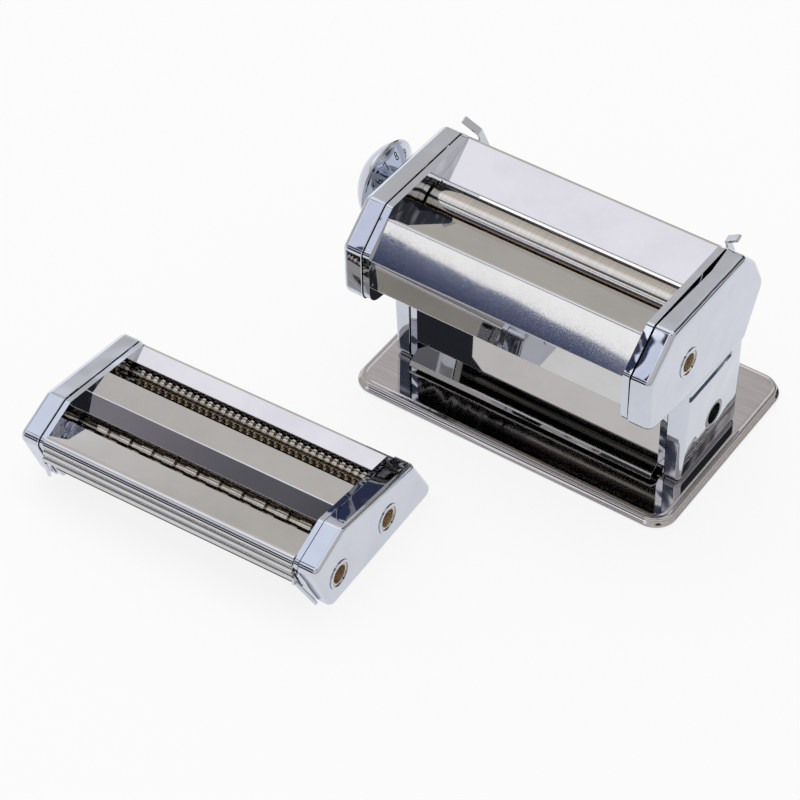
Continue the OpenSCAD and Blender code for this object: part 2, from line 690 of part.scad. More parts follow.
// Regulator and thickness knob, drawn on the crank side and mirrored to the other
cam_in = cover_in + cam_gap;
collar_out = cover_out + collar_len;
dial_in = cover_out + knob_stand - dial_len;
dome_in = cover_out + knob_stand;
head_out = dome_in + head_back;
dome_sphere = (pow(knob_r, 2) + pow(dome_h, 2)) / (2 * dome_h);
module regulator_shaft() color("gray") set_up() mirror([1, 0, 0]) {
    rod(cam_in, cam_in + cam_t, cam_r, rear_axis);
    rod(cam_in, head_out, regulator_r, rear_axis);
    rod(head_out - head_t, head_out, head_r, rear_axis);
}
module knob_dial() color("gainsboro") set_up() mirror([1, 0, 0]) difference() {
    turned(rear_axis) polygon([[0, collar_out + hub_gap], [hub_r, collar_out + hub_gap],
        [hub_r, dial_in - dial_lip], [knob_r - dial_lip / 2, dial_in], [knob_r, dial_in + dial_lip / 2],
        [knob_r, dome_in], [0, dome_in]]);
    rod(collar_out, dome_in + over, regulator_r + run_fit, rear_axis);
    rod(dome_in - dial_len, dome_in + over, chamber_r, rear_axis);
}
module knob_dome() color("white") set_up() mirror([1, 0, 0]) difference() {
    turned(rear_axis) intersection() {
        translate([0, dome_in + dome_h - dome_sphere]) circle(r = dome_sphere);
        translate([0, dome_in]) square([knob_r, dome_h + over]);
    }
    rod(dome_in - over, dome_in + chamber_len, chamber_r, rear_axis);
}
module knob_spring() color("dimgray") set_up() mirror([1, 0, 0]) difference() {
    rod(dome_in - dial_len, head_out - head_t, regulator_r + slide_clear + spring_wall, rear_axis);
    rod(dome_in - dial_len - over, head_out, regulator_r + slide_clear, rear_axis);
}

// The cutter head, drawn in its own frame and then set down
module set_down() translate([cutter_x, cutter_y, 0]) rotate([0, 0, cutter_turn]) children();
cutter_points = [cutter_top, cutter_back_top, cutter_back_foot, cutter_front_foot, cutter_nose];
cutter_radii = [for (p = cutter_points) cutter_corner_r];
cutter_axes = [wide_front_axis, wide_rear_axis, narrow_front_axis, narrow_rear_axis];
drive_axes = [wide_front_axis, narrow_front_axis];
plain_axes = [wide_rear_axis, narrow_rear_axis];

module cutter_frame(drive) difference() {
    union() {
        along_x(cutter_in, cutter_frame_out)
            rounded_outline(inset(cutter_points, frame_inset), less(cutter_radii, frame_inset));
        for (at = plain_axes) rod(cutter_in, cutter_frame_out + seam / 2, journal_r + 2 * bush_wall, at);
    }
    for (at = drive_axes)
        rod(cutter_in - over, cutter_frame_out + over,
            (drive ? drive_r : journal_r) + bush_wall / 2 + fixed_fit, at);
    for (at = plain_axes)
        rod(cutter_in - over, cutter_frame_out + over, journal_r + bush_wall / 2 + fixed_fit, at);
}
module cutter_cover(drive) difference() {
    union() {
        along_x(cutter_cover_in, cutter_out) rounded_outline(cutter_points, cutter_radii);
        along_x(cutter_frame_out, cutter_cover_in + cover_wall)
            rounded_outline(inset(cutter_points, lip_inset), less(cutter_radii, lip_inset));
    }
    along_x(cutter_frame_out - over, cutter_out - cover_wall)
        rounded_outline(inset(cutter_points, lip_inset + cover_wall),
            less(cutter_radii, lip_inset + cover_wall));
    if (drive)
        for (at = drive_axes)
            rod(cutter_cover_in, cutter_out + over, drive_r + collar_wall + fixed_fit, at);
}
module cutter_left_frame() color("gainsboro") set_down() mirror([1, 0, 0]) cutter_frame(false);
module cutter_right_frame() color("gainsboro") set_down() cutter_frame(true);
module cutter_left_cover() color("lightsteelblue") set_down() mirror([1, 0, 0]) cutter_cover(false);
module cutter_right_cover() color("lightsteelblue") set_down() cutter_cover(true);

module cutter_sheet(path) set_down() bent_sheet(path, sheet_t, -cutter_in, cutter_in);
module cutter_rear_sheet() color("gainsboro")
    cutter_sheet(bent_path([cut_back_low, cut_back_top, cut_back_foot], ridge_r));
module cutter_middle_sheet() color("silver")
    cutter_sheet(bent_path([cut_mid_back, cut_ridge, cut_mid_low], ridge_r));
module cutter_front_sheet() color("silver")
    cutter_sheet(concat([cut_front_back],
        arc_points(cut_front_back, cut_front_top, cut_front_wall[0], front_r, corner_steps),
        cut_front_wall));

// A round bar from a to b
module bar(a, b, r) {
    v = b - a;
    translate(a) rotate([0, acos(v.z / norm(v)), heading(v)]) cylinder(h = norm(v), r = r);
}
module cutter_hooks() color("silver") set_down() both_sides() {
    translate([cutter_in, hook_at.x, hook_at.y]) cube(hook_pad);
    bar([cutter_in + hook_r, hook_at.x + hook_r, hook_at.y + hook_r],
        [cutter_in + hook_reach, hook_tip.x, hook_tip.y], hook_r);
}
module cutter_tie_rods() color("gray") set_down()
    for (at = cutter_rods) rod(-cutter_in, cutter_in, cutter_rod_r, at);

module bush(x0, x1, inner, wall, at) difference() {
    rod(x0, x1, inner + wall, at);
    rod(x0 - over, x1 + over, inner + run_fit, at);
}
module cutter_bushes() color("goldenrod") set_down() {
    for (at = drive_axes) {
        bush(cutter_in, cutter_frame_out, drive_r, bush_wall / 2, at);
        bush(cutter_out - cover_wall - over, cutter_out + over / 2, drive_r, collar_wall, at);
    }
    for (at = plain_axes) bush(cutter_in, cutter_frame_out, journal_r, bush_wall / 2, at);
    for (at = cutter_axes) bush(-cutter_frame_out, -cutter_in, journal_r, bush_wall / 2, at);
}

// A cutter roller: a core with a row of discs
function disc_pitch(w) = 2 * (w + disc_clear);
function disc_count(w) = floor(cutter_length / disc_pitch(w) - 1 / 2);
function first_disc(w, shift) = disc_pitch(w) * (shift - disc_count(w) / 2 - 1 / 4);
module disc_row(w, shift) polygon(concat([[0, -cutter_length / 2], [core_r, -cutter_length / 2]],
    [for (i = [0:disc_count(w) - 1]) let (x = first_disc(w, shift) + i * disc_pitch(w))
        each [[core_r, x], [disc_r, x], [disc_r, x + w], [core_r, x + w]]],
    [[core_r, cutter_length / 2], [0, cutter_length / 2]]));
cutter_gear_in = cutter_cover_in + gear_gap;
module cutter_roller(at, w, shift, drive) difference() {
    union() {
        turned(at) disc_row(w, shift);
        rod(-cutter_gear_in - gear_w, over - cutter_length / 2, journal_r, at);
        if (drive) rod(cutter_length / 2 - over, cutter_out, drive_r, at);
        else rod(cutter_length / 2 - over, cutter_frame_out + seam, journal_r, at);
    }
    if (drive) rod(cutter_out - socket_depth, cutter_out + over, socket_r, at);
}
module wide_cutter_front() color("lightgray") set_down() cutter_roller(wide_front_axis, wide_w, 0, true);
module wide_cutter_rear() color("lightgray") set_down() cutter_roller(wide_rear_axis, wide_w, 1 / 2, false);
module narrow_cutter_front() color("tan") set_down() cutter_roller(narrow_front_axis, narrow_w, 0, true);
module narrow_cutter_rear() color("lightgray") set_down()
    cutter_roller(narrow_rear_axis, narrow_w, 1 / 2, false);

module pair_gear(at, phase) set_down() gear(at, -cutter_gear_in - gear_w, pair_gap, journal_r, phase);
module wide_gear_front() color("darkgray") pair_gear(wide_front_axis, 0);
module wide_gear_rear() color("darkgray") pair_gear(wide_rear_axis, 180 + 180 / gear_teeth);
module narrow_gear_front() color("darkgray") pair_gear(narrow_front_axis, 0);
module narrow_gear_rear() color("darkgray") pair_gear(narrow_rear_axis, 180 + 180 / gear_teeth);

// Combs that strip the dough out of the grooves
module comb(at, w, shift, away) {
    bar = at.x + away * (disc_r + 2 * comb_clear);
    low = cutter_z - disc_r + comb_low;
    translate([-cutter_in, min(bar, bar + away * comb_t), low]) cube([2 * cutter_in, comb_t, comb_bar]);
    for (i = [0:disc_count(w) - 2])
        translate([first_disc(w, shift) + w + i * disc_pitch(w) + comb_clear,
                away > 0 ? at.x + core_r + comb_clear : bar - comb_t, cutter_z - comb_t / 2])
            cube([disc_pitch(w) - w - 2 * comb_clear, disc_r - core_r + comb_clear + comb_t, comb_t]);
    translate([-cutter_in, min(bar, bar + away * comb_t), low])
        cube([2 * cutter_in, comb_t, cutter_z - low]);
}
module cutter_combs() color("darkgray") set_down() {
    comb(wide_front_axis, wide_w, 0, -1);
    comb(wide_rear_axis, wide_w, 1 / 2, 1);
}

base_plate();
rubber_feet();
base_screws();
bottom_tray();
left_side_frame();
right_side_frame();
left_end_cover();
right_end_cover();
front_cover();
front_apron();
rear_cover();
left_guide_rail();
right_guide_rail();
tie_rods();
front_scraper();
clamp_socket();
crank_bush();
front_roller_bushes();
knob_collar();
front_roller();
front_gear();
bearing_blocks();
rear_scraper();
rear_roller();
rear_gear();
regulator_shaft();
knob_dial();
knob_dome();
knob_spring();
cutter_left_frame();
cutter_right_frame();
cutter_left_cover();
cutter_right_cover();
cutter_rear_sheet();
cutter_middle_sheet();
cutter_front_sheet();
cutter_hooks();
cutter_tie_rods();
cutter_bushes();
cutter_combs();
wide_cutter_front();
wide_cutter_rear();
narrow_cutter_front();
narrow_cutter_rear();
wide_gear_front();
wide_gear_rear();
narrow_gear_front();
narrow_gear_rear();
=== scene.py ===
import math

import bmesh
import bpy
from mathutils import Matrix, Vector


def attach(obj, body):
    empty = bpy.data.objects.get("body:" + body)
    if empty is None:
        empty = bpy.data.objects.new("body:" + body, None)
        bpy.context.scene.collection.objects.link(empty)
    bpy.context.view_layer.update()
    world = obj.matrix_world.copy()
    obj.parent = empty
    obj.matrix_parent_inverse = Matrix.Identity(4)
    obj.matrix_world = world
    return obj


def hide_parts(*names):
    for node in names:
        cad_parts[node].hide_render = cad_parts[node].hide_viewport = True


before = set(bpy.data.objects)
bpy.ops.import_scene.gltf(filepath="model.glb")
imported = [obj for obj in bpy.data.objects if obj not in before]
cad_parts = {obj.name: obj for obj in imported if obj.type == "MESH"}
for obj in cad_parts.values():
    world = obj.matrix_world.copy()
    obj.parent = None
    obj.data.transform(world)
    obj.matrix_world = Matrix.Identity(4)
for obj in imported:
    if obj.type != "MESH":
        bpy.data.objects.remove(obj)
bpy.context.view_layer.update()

# Every piece is made in millimetres in its own frame, and one of two matrices carries it to its place:
# from the middle of the machine's base plate, or from the middle of the cutter head set down beside it.
MM = 0.001
MACHINE = Matrix.Translation((52 * MM, 78 * MM, 0))
CUTTER_TURN = math.radians(2)
CUTTER = Matrix.Translation((-56.9 * MM, -78 * MM, 0)) @ Matrix.Rotation(CUTTER_TURN, 4, "Z")

# ---------------------------------------------------------------- Studio
# A plain white table top under a soft tent: grey low down, pale overhead, with cards and flags hung on it.
# Bright plate shows nothing but its surroundings, so each card is there for the surfaces that mirror it.
# The camera stands where the photograph was taken from.

# How much brighter the tent shines than its colours say, so that they stay inside a colour's range
TENT_LIGHT = 1.45

# The tent from its foot to its top: the sine of the height above the horizon, and the colour there
ROOF = [(0.0, "#A6A29B"), (0.42, "#B6B3AF"), (0.62, "#B9B6B2"), (0.71, "#C2C0BF"),
        (0.79, "#BDBAB8"), (0.90, "#DEDDDD"), (0.94, "#F6F6F6"), (0.99, "#CCCED4")]

# Cards: azimuth and height in degrees, how far from there each begins and ends to fade, and its colour.
# Later ones lie over earlier ones.
CARDS = [(-128, 50, 13, 21, "#F8F8F9"),         # the front sheet's hip, and the covers' noses beside it
         (-168, 60, 10, 20, "#D8DCE6"),         # the noses of the cutter head's covers
         (165, 67, 6, 10, "#EFEEF7"),           # the rear sheet
         (146, 10, 18, 30, "#F2F3F8"),          # rounded edges on the left hand side
         (-131, 46, 3.5, 8, "#CDD0DD"),         # the left cover's nose
         (-144.5, 56.6, 2.5, 4.5, "#7A787F"),   # the ridge of the cutter head's middle sheet
         (-131, 62, 4, 9, "#4A4B51")]           # the same ridge, further along

# The big flag has one straight edge, through two directions: the hip mirrors it as the line between its
# white and its dark blue half. Both ramps are counted in sines from that edge, down into the flag.
FLAG_EDGE = (-124.2, 39.7), (-117.7, 41.3)
FLAG_MIDDLE, FLAG_FADE = (-121, 33), (8, 11)
EDGE_RAMP, DEPTH_RAMP = (0.0002, -0.0005), (-0.002, -0.011)
FLAG_COLOUR, FLAG_DEPTH = "#5B637F", "#3A4058"

# Small flags, in the same form as the cards. The unmarked ones draw the dark lines in rounded edges, on the
# right hand side and at the back.
FLAGS = [(-125.2, 44.2, 1.7, 2.4, "#454B58"),   # the left leg's front, as the base plate mirrors it
         (-121.1, 48.5, 1.5, 2.3, "#33364A"),   # the right cover's nose
         (-118.2, 46.8, 1.0, 1.6, "#454B58"),   # the right leg's front, as the base plate mirrors it
         (-115, 3, 10, 14, "#26272B"),          # the lower side of the rollers
         (60, 25, 8, 12, "#24262A"),
         (-38, 58, 7, 11, "#26282C"),
         (36, 6, 6, 11, "#474C57"),
         (54, 44, 8, 13, "#2E2F33"),            # the left frame, as the tray mirrors it
         (80, 10, 14, 24, "#3A3C42")]


def linear(hexa):
    """An sRGB hex colour as linear RGBA."""
    parts = [int(hexa[i:i + 2], 16) / 255 for i in (1, 3, 5)]
    return (*[c / 12.92 if c <= 0.04045 else ((c + 0.055) / 1.055) ** 2.4 for c in parts], 1)


def add(tree, kind, inputs=None, **settings):
    """Adds a node with its settings; inputs maps a socket's name or number to a value or (node, output)."""
    node = tree.nodes.new(kind)
    for name, value in settings.items():
        setattr(node, name, value)
    for name, value in (inputs or {}).items():
        if isinstance(value, tuple) and isinstance(value[0], bpy.types.Node):
            tree.links.new(value[0].outputs[value[1]], node.inputs[name])
        else:
            node.inputs[name].default_value = value
    return node


def set_ramp(node, stops):
    """Gives a colour ramp its stops, as pairs of a place and a hex colour."""
    ramp = node.color_ramp
    ramp.interpolation = "EASE"
    while len(ramp.elements) > 1:
        ramp.elements.remove(ramp.elements[-1])
    ramp.elements[0].position, ramp.elements[0].color = stops[0][0], linear(stops[0][1])
    for place, hexa in stops[1:]:
        ramp.elements.new(place).color = linear(hexa)


def toward(azimuth, elevation):
    """A direction from its azimuth, counted from +X to +Y, and its height above the horizon, in degrees."""
    a, e = math.radians(azimuth), math.radians(elevation)
    return Vector((math.cos(a) * math.cos(e), math.sin(a) * math.cos(e), math.sin(e)))


world = bpy.data.worlds.new("studio_tent")
bpy.context.scene.world = world
world.use_nodes = True
tent = world.node_tree
tent.nodes.clear()
way = add(tent, "ShaderNodeTexCoord")
height = add(tent, "ShaderNodeSeparateXYZ", {0: (way, "Generated")})


def along(direction):
    """How far a ray looks along a direction: the cosine of the angle between them."""
    return add(tent, "ShaderNodeVectorMath", {0: (way, "Generated"), 1: direction}, operation="DOT_PRODUCT")


def ramp_between(value, start, end, smooth="SMOOTHSTEP"):
    """0 at start and 1 at end of a value, and nothing outside that."""
    return add(tent, "ShaderNodeMapRange", {0: value, 1: start, 2: end}, interpolation_type=smooth)


def reach(direction, near, far):
    """1 up to near degrees from a direction, and 0 from far degrees on."""
    return ramp_between((along(direction), "Value"), math.cos(math.radians(far)), math.cos(math.radians(near)))


def product(a, b):
    """One mask times another."""
    return add(tent, "ShaderNodeMath", {0: (a, 0), 1: (b, 0)}, operation="MULTIPLY")


def painted(under, mask, hexa):
    """The tent's colour with one more patch on it."""
    return add(tent, "ShaderNodeMix", {0: (mask, 0), 6: under, 7: linear(hexa)}, data_type="RGBA"), 2


roof = add(tent, "ShaderNodeValToRGB", {0: (height, "Z")})
set_ramp(roof, ROOF)
shade = (roof, 0)
for azimuth, elevation, near, far, hexa in CARDS:
    shade = painted(shade, reach(toward(azimuth, elevation), near, far), hexa)
over_edge = along(toward(*FLAG_EDGE[0]).cross(toward(*FLAG_EDGE[1])).normalized())
flag = product(ramp_between((over_edge, "Value"), *EDGE_RAMP), reach(toward(*FLAG_MIDDLE), *FLAG_FADE))
shade = painted(shade, flag, FLAG_COLOUR)
shade = painted(shade, product(flag, ramp_between((over_edge, "Value"), *DEPTH_RAMP, "LINEAR")), FLAG_DEPTH)
for azimuth, elevation, near, far, hexa in FLAGS:
    shade = painted(shade, reach(toward(azimuth, elevation), near, far), hexa)
rays = add(tent, "ShaderNodeLightPath")
glow = add(tent, "ShaderNodeBackground", {"Color": shade, "Strength": TENT_LIGHT})
blank = add(tent, "ShaderNodeBackground", {"Color": (1, 1, 1, 1), "Strength": 1.0})
seen = add(tent, "ShaderNodeMixShader", {0: (rays, "Is Camera Ray"), 1: (glow, 0), 2: (blank, 0)})
add(tent, "ShaderNodeOutputWorld", {0: (seen, 0)})

# The table top: half its width in metres, and how far under the feet it lies. To the camera and in mirrors
# it is mostly plain white; the share that is left is matt paper, which takes the object's shadow.
TABLE_REACH, TABLE_DROP = 3, 0.0002
PLAIN_SHARE = 0.84
floor_mesh = bpy.data.meshes.new("table_top")
floor_corners = [(-1, -1), (1, -1), (1, 1), (-1, 1)]
floor_mesh.from_pydata([(x * TABLE_REACH, y * TABLE_REACH, -TABLE_DROP) for x, y in floor_corners],
                       [], [(0, 1, 2, 3)])
table_top = bpy.data.objects.new("table_top", floor_mesh)
bpy.context.scene.collection.objects.link(table_top)
paper = bpy.data.materials.new("matt_white_paper")
paper.use_nodes = True
sheet = paper.node_tree
sheet.nodes.clear()
rays = add(sheet, "ShaderNodeLightPath")
matt = add(sheet, "ShaderNodeBsdfDiffuse", {"Color": linear("#F4F4F4")})
white = add(sheet, "ShaderNodeEmission", {"Color": (1, 1, 1, 1), "Strength": 1.0})
either = add(sheet, "ShaderNodeMath", {0: (rays, "Is Camera Ray"), 1: (rays, "Is Glossy Ray")},
             operation="MAXIMUM")
share = add(sheet, "ShaderNodeMath", {0: (either, 0), 1: PLAIN_SHARE}, operation="MULTIPLY")
both = add(sheet, "ShaderNodeMixShader", {0: (share, 0), 1: (matt, 0), 2: (white, 0)})
add(sheet, "ShaderNodeOutputMaterial", {0: (both, 0)})
floor_mesh.materials.append(paper)

# A weak lamp over the tent gives the soft shadow its direction; mirrors don't show it
lamp = bpy.data.lights.new("overhead_softbox", "AREA")
lamp.shape = "RECTANGLE"
lamp.size, lamp.size_y, lamp.energy = 0.9, 0.7, 2.5
softbox = bpy.data.objects.new("overhead_softbox", lamp)
softbox.location = (-0.15, 0.15, 1.35)
softbox.visible_glossy = False
bpy.context.scene.collection.objects.link(softbox)

# The camera's turn round the object, its angle above the table and its roll; its distance in millimetres from
# the point it looks at, and where that point lies on the table, in the machine's own X and Y
AZIMUTH, ELEVATION, ROLL = map(math.radians, (35.252, 45.286, -0.968))
DISTANCE, AIM = 1650.8, (-70.21, -58.40)
back = Vector((math.sin(AZIMUTH) * math.cos(ELEVATION), -math.cos(AZIMUTH) * math.cos(ELEVATION),
               math.sin(ELEVATION)))
level = Vector((math.cos(AZIMUTH), math.sin(AZIMUTH), 0))
right = level * math.cos(ROLL) + back.cross(level) * math.sin(ROLL)
turn = Matrix((right, back.cross(right), back)).transposed()
lens = bpy.data.cameras.new("photo_camera")
lens.sensor_width = 36
lens.lens = 137.5
camera = bpy.data.objects.new("photo_camera", lens)
target = MACHINE @ Vector((AIM[0] * MM, AIM[1] * MM, 0))
camera.matrix_world = Matrix.Translation(target + back * DISTANCE * MM) @ turn.to_4x4()
bpy.context.scene.collection.objects.link(camera)
bpy.context.scene.camera = camera
bpy.context.scene.view_settings.view_transform = "Standard"

# ---------------------------------------------------------------- Side frames
# Two steel plates that carry everything, pressed with rounded edges and chromed.
# The sheets, rollers and tie rods end in them, and the end covers clip over them.
# Their shape is right as it comes from the frame; they get a softened edge and their finish.


def per_mm(size):
    """The scale that makes a texture's features about this many millimetres wide."""
    return 1000 / size


def toned(hexa, factor):
    """The same hex colour made darker or lighter."""
    return "#%02X%02X%02X" % tuple(min(255, int(int(hexa[i:i + 2], 16) * factor)) for i in (1, 3, 5))


def new_material(name):
    """A new material with its node tree and its shader."""
    made = bpy.data.materials.new(name)
    made.use_nodes = True
    return made, made.node_tree, made.node_tree.nodes["Principled BSDF"]


def wire(tree, bsdf, sockets):
    """Links the first output of each node to the shader's socket of that name."""
    for name, node in sockets.items():
        tree.links.new(node.outputs[0], bsdf.inputs[name])


# Chrome plate: its tint drifts a little over patches, and a fine satin grain breaks up its gloss
TINT_MM, GRAIN_MM, TINT_DROP = 30, 0.6, 0.975


def plated(name, hexa, rough, swell_mm=60, swell=0.0007, grain=0.03):
    """Plate over steel: a mirror whose reflections wander over swells of swell_mm, with a satin grain."""
    made, tree, bsdf = new_material(name)
    bsdf.inputs["Metallic"].default_value = 1.0
    place = add(tree, "ShaderNodeTexCoord")
    patch = add(tree, "ShaderNodeTexNoise",
                {"Vector": (place, "Object"), "Scale": per_mm(TINT_MM), "Detail": 6.0, "Roughness": 0.65})
    tint = add(tree, "ShaderNodeValToRGB", {0: (patch, 0)})
    set_ramp(tint, [(0.35, hexa), (0.7, toned(hexa, TINT_DROP))])
    speck = add(tree, "ShaderNodeTexNoise",
                {"Vector": (place, "Object"), "Scale": per_mm(GRAIN_MM), "Detail": 2.0})
    gloss = add(tree, "ShaderNodeMapRange", {0: (speck, 0), 1: 0.42, 2: 0.72, 3: rough, 4: rough + grain})
    uneven = add(tree, "ShaderNodeTexNoise",
                 {"Vector": (place, "Object"), "Scale": per_mm(swell_mm), "Detail": 1.0})
    bump = add(tree, "ShaderNodeBump",
               {"Height": (uneven, 0), "Strength": 1.0, "Distance": swell * swell_mm * MM})
    wire(tree, bsdf, {"Base Color": tint, "Roughness": gloss, "Normal": bump})
    return made


# Chrome over nickel on pressed steel: it gives the eye a cool, almost perfect mirror
CHROME = "#C9CDD7"
chrome = plated("bright_chrome_plate", CHROME, 0.02)
# The same plate over pressed covers, where the press has left the sheet a little uneven
pressed_chrome = plated("pressed_chrome_plate", CHROME, 0.02, swell_mm=26, swell=0.04)
# And over the frames' rolled edges, which show shorter waves from the press tool
rolled_chrome = plated("rolled_edge_chrome_plate", CHROME, 0.02, swell_mm=16, swell=0.05)


def smoothing():
    """A node group that joins a CAD mesh's split corners and drops its stored normals, ready for a bevel."""
    tree = bpy.data.node_groups.new("join_and_smooth", "GeometryNodeTree")
    tree.interface.new_socket("Geometry", in_out="INPUT", socket_type="NodeSocketGeometry")
    tree.interface.new_socket("Geometry", in_out="OUTPUT", socket_type="NodeSocketGeometry")
    source = add(tree, "NodeGroupInput")
    joined = add(tree, "GeometryNodeMergeByDistance", {"Geometry": (source, 0), "Distance": 0.002 * MM})
    free = add(tree, "GeometryNodeSetMeshNormal", {"Mesh": (joined, 0), "Remove Custom": True})
    add(tree, "NodeGroupOutput", {0: (free, 0)})
    return tree


join = smoothing()
# Edges with at least this angle between their faces are softened
BEVEL_FROM = math.radians(34)


def dress(nodes, material, soft=0.0):
    """Gives CAD nodes their finish and, where soft is set, a worn edge of that many millimetres."""
    for name in nodes:
        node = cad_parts[name]
        node.data.materials.clear()
        node.data.materials.append(material)
        if soft:
            node.modifiers.new("joined", "NODES").node_group = join
            worn = node.modifiers.new("worn_edges", "BEVEL")
            worn.width, worn.segments = soft * MM, 2
            worn.limit_method, worn.angle_limit = "ANGLE", BEVEL_FROM
            worn.use_clamp_overlap = True
            worn.harden_normals = True


FRAME_EDGE = 1.0
dress(["left_side_frame", "right_side_frame"], rolled_chrome, FRAME_EDGE)

# ---------------------------------------------------------------- End covers
# Pressed chromed caps that hide the gears and clip over the frames. The head part stands half a millimetre
# proud of the leg part, whose face leans in towards the foot, and a groove is pressed between the two.

CORNER_STEPS = 8


def corner(a, b, c, radius):
    """The arc that rounds the corner b on the way from a to c."""
    to_a, to_c = (a - b).normalized(), (c - b).normalized()
    half = to_a.angle(to_c) / 2
    centre = b + (to_a + to_c).normalized() * radius / math.sin(half)
    first = b + to_a * radius / math.tan(half) - centre
    sweep = -first.angle_signed(b + to_c * radius / math.tan(half) - centre)
    return [centre + Matrix.Rotation(sweep * k / CORNER_STEPS, 2) @ first for k in range(CORNER_STEPS + 1)]


def rounded(points, radii, inset):
    """A clockwise outline in Y and Z, moved inwards by inset, with every corner turned into an arc."""
    points = [Vector(p) for p in points]
    count = len(points)
    moved, bends = [], []
    for i, b in enumerate(points):
        before = (b - points[i - 1]).normalized()
        after = (points[(i + 1) % count] - b).normalized()
        inward = Vector((before.y, -before.x))
        middle = (inward + Vector((after.y, -after.x))).normalized()
        moved.append(b + middle * inset / middle.dot(inward))
        bends.append(radii[i] + (inset if before.cross(after) > 0 else -inset))
    return [p for i, b in enumerate(moved)
            for p in corner(moved[i - 1], b, moved[(i + 1) % count], bends[i])]


def circle(at, radius, steps=48):
    """A ring of points in Y and Z."""
    turns = [2 * math.pi * k / steps for k in range(steps)]
    return [Vector((at[0] + radius * math.cos(a), at[1] + radius * math.sin(a))) for a in turns]


def edge(x0, x1, radius, steps=8):
    """Pairs of X and inset for a rounded edge that ends a wall at x1; the wall comes from x0."""
    way = 1 if x1 > x0 else -1
    turns = [math.pi / 2 * k / steps for k in range(steps + 1)]
    return [(x1 - way * radius * (1 - math.sin(a)), radius * (1 - math.cos(a))) for a in turns]


def add_rings(bm, loops):
    """Joins a row of loops of equal length, each a list of (x, y, z), with bands of faces."""
    rows = [[bm.verts.new(p) for p in loop] for loop in loops]
    for low, high in zip(rows, rows[1:]):
        for i in range(len(low)):
            bm.faces.new((low[i - 1], low[i], high[i], high[i - 1]))
    return rows


def close(bm, *loops):
    """Fills a flat face whose outer border is the first loop and whose holes are the others."""
    edges = [bm.edges.get((loop[i - 1], loop[i])) for loop in loops for i in range(len(loop))]
    bmesh.ops.triangle_fill(bm, edges=edges, use_beauty=True, normal=(1, 0, 0))


def new_piece(name, bm, place, material, body, slot, *nodes, sharp=38):
    """Turns millimetre mesh code into a piece: placed, smoothed up to the angle sharp and given its finish.

    It rides on a body of the frame and may take the place of CAD nodes. Its slot is not used.
    """
    bmesh.ops.transform(bm, matrix=place @ Matrix.Scale(MM, 4), verts=bm.verts)
    bmesh.ops.recalc_face_normals(bm, faces=bm.faces)
    mesh = bpy.data.meshes.new(name)
    bm.to_mesh(mesh)
    bm.free()
    mesh.shade_smooth()
    mesh.set_sharp_from_angle(angle=math.radians(sharp))
    mesh.materials.append(material)
    piece = bpy.data.objects.new(name, mesh)
    bpy.context.scene.collection.objects.link(piece)
    even = piece.modifiers.new("flat_faces_stay_flat", "WEIGHTED_NORMAL")
    even.keep_sharp = True
    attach(piece, body)
    if nodes:
        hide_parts(*nodes)
    return piece


# Outlines in Y and Z, clockwise, with a corner radius for each point
HEAD = [(-54, 133.5), (-30, 133.0), (-4, 132.33), (16, 131.7), (28, 119), (38, 99), (22, 69),
        (-34, 73.5), (-76.5, 80.5), (-76.5, 115)]
HEAD_RADII = [5, 20, 20, 6, 16, 9, 4.2, 4.2, 10, 5]
LEG = [(-34, 77.5), (21.5, 77.5), (26, 6.5), (-34, 6.5)]
LEG_RADII = [4.2] * 4

# The covers' inner and outer ends along X, the radius of their soft edge and their wall
COVER_IN, COVER_OUT = 80.5, 92.5
SOFT, WALL = 3.4, 1.2
# How far the rim is rounded along X and across the wall, and how much the inside narrows towards the face
RIM_X, RIM_ACROSS, INNER_STEP = 0.25, 0.3, 0.2
# The drawn edge of a hole: depth under the face, and how much wider the hole is there
HOLE_EDGE = [(0.5, 0), (0.15, 0.15), (0, 0.5)]

# The leg part's face is set back and its wall is thick enough for the groove. From this height down the face
# leans in, by the tangent of this angle.
LEG_SET_BACK, LEG_WALL = 0.5, 3.6
LEG_LEAN = 69, math.tan(math.radians(2.4))

# Where shafts and tubes come through, in Y and Z, and the radii of their holes
FRONT_AXIS, REAR_AXIS, CLAMP_AT = (-38.5, 101.6), (-16.245, 108.831), (-2.4, 33.8)
CRANK_HOLE, CLAMP_HOLE, COLLAR_HOLE = 8.32, 8.12, 8.02

# The right hand cover's rim has sprung away from its frame along the top: Y, and the gap that it opens
SPRUNG_RIM = [(-80, 0.2), (-68, 0.9), (-54, 0.6), (-30, 1.5), (-4, 2.4), (18, 0.3), (24, 0)]
SPRUNG_ABOVE = 112

# The groove's V shaped section in X from the face and Z, and its run in Y with the height that it gains
GROOVE = [(0.5, 64.3), (-3.3, 70.2), (0.5, 70.6)]
GROOVE_RUN = [(-32.5, 0.2), (-20, 0), (-4, 0), (9.5, 0.4)]

# Edges of the groove and the rim stay crisp from this angle on
SHELL_SHARP = 26


def between(y, run):
    """The value at y in a row of (y, value) pairs, and 0 outside it."""
    for (y0, low), (y1, high) in zip(run, run[1:]):
        if y0 <= y <= y1:
            return low + (high - low) * (y - y0) / (y1 - y0)
    return 0


